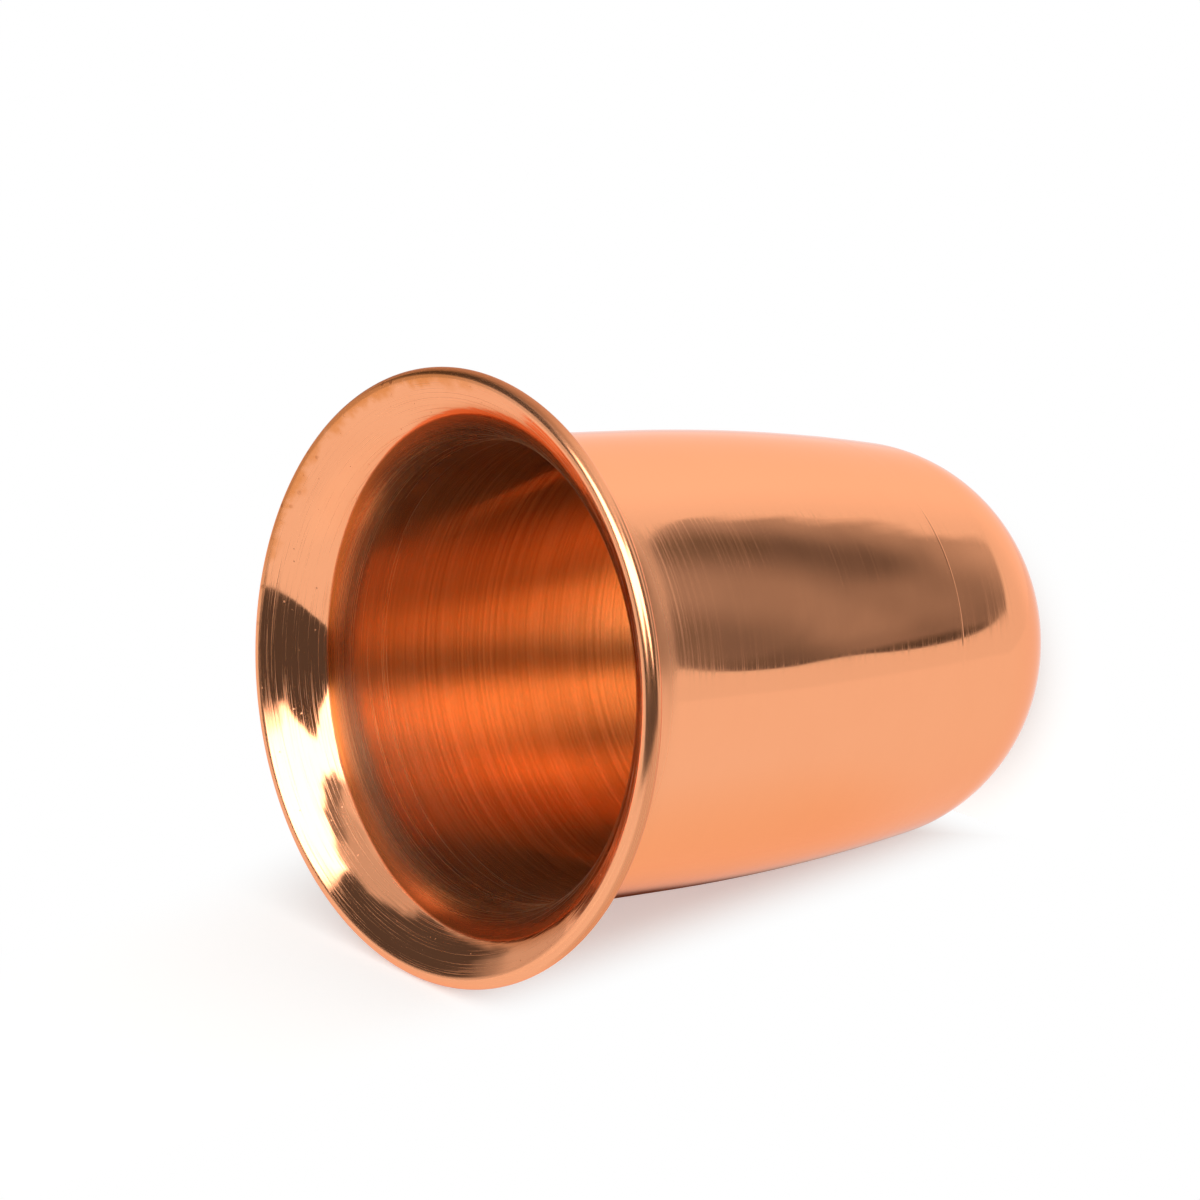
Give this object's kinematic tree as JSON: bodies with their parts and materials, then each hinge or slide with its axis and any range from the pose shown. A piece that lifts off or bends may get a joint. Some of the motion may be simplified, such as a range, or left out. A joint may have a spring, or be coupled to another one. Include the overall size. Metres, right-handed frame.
{
  "type": "copper tumbler",
  "caption": "Round-bottomed copper drinking tumbler with a flared mouth, a wired rolled lip, a lap-jointed pressed base and a flat to stand on.",
  "frame": {"origin": "middle of the flat that the tumbler stands on, at the bottom of the part", "axes": "+Z along the tumbler's own axis, from the base to the mouth; it is round, so X and Y are free"},
  "size_m": [0.08, 0.08, 0.0964],
  "materials": {
    "body_copper": null,
    "base_copper": null,
    "wire_copper": null
  },
  "bodies": {
    "root": {"cup_body": "body_copper", "base_cup": "base_copper", "rim_wire": "wire_copper"}
  },
  "joints": []
}
